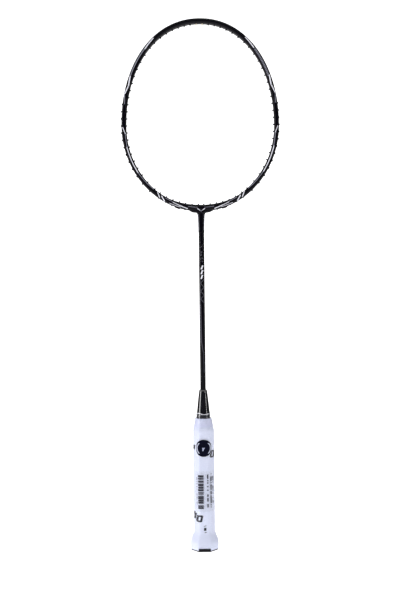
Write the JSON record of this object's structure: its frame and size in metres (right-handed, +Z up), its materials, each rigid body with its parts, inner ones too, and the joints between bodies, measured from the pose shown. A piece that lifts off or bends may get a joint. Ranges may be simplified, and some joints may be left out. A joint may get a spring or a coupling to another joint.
{
  "type": "badminton racket",
  "caption": "Unstrung badminton racket: black hollow oval head with grommets, thin shaft, tapered cone and pale octagonal grip still in its clear film, with a flared butt.",
  "frame": {"origin": "centre of the butt's end face, on the shaft's axis", "axes": "+Z up the shaft to the tip of the head, X across the head in the string plane, +Y square to the string plane, away from the face with the label"},
  "size_m": [0.2028, 0.0326, 0.675],
  "materials": {
    "frame_hoop": "clear-coated black",
    "throat_joint": "clear-coated black",
    "shaft": "clear-coated black",
    "cone": "satin moulded",
    "handle_core": "bare",
    "butt_cap": "satin moulded",
    "end_badge": "satin",
    "grip_wrap": "matt, cushioned",
    "finishing_band": "satin tape",
    "film_sleeve": "clear film",
    "round_sticker": "printed",
    "print_label": "printed",
    "grommet": "moulded",
    "natural_grommet": "moulded"
  },
  "bodies": {
    "root": {"butt_cap": "butt_cap", "cone": "cone", "end_badge": "end_badge", "film_sleeve": "film_sleeve", "finishing_band": "finishing_band", "frame_hoop": "frame_hoop", "grip_wrap": "grip_wrap", "handle_core": "handle_core", "print_label": "print_label", "round_sticker": "round_sticker", "shaft": "shaft", "shoulder_strip_left": "grommet", "shoulder_strip_right": "grommet", "side_grommet_left_01": "grommet", "side_grommet_left_02": "grommet", "side_grommet_left_03": "grommet", "side_grommet_left_04": "grommet", "side_grommet_left_05": "grommet", "side_grommet_left_06": "grommet", "side_grommet_left_07": "grommet", "side_grommet_left_08": "grommet", "side_grommet_left_09": "grommet", "side_grommet_left_10": "grommet", "side_grommet_left_11": "grommet", "side_grommet_left_12": "grommet", "side_grommet_left_13": "grommet", "side_grommet_right_01": "grommet", "side_grommet_right_02": "grommet", "side_grommet_right_03": "grommet", "side_grommet_right_04": "grommet", "side_grommet_right_05": "grommet", "side_grommet_right_06": "grommet", "side_grommet_right_07": "grommet", "side_grommet_right_08": "grommet", "side_grommet_right_09": "grommet", "side_grommet_right_10": "grommet", "side_grommet_right_11": "grommet", "side_grommet_right_12": "grommet", "side_grommet_right_13": "grommet", "throat_grommet_left_1": "grommet", "throat_grommet_left_2": "grommet", "throat_grommet_right_1": "grommet", "throat_grommet_right_2": "grommet", "throat_joint": "throat_joint", "throat_strip_left": "grommet", "throat_strip_right": "grommet", "top_grommet_left": "natural_grommet", "top_grommet_right": "natural_grommet", "top_strip_left": "grommet", "top_strip_right": "grommet"}
  },
  "joints": []
}
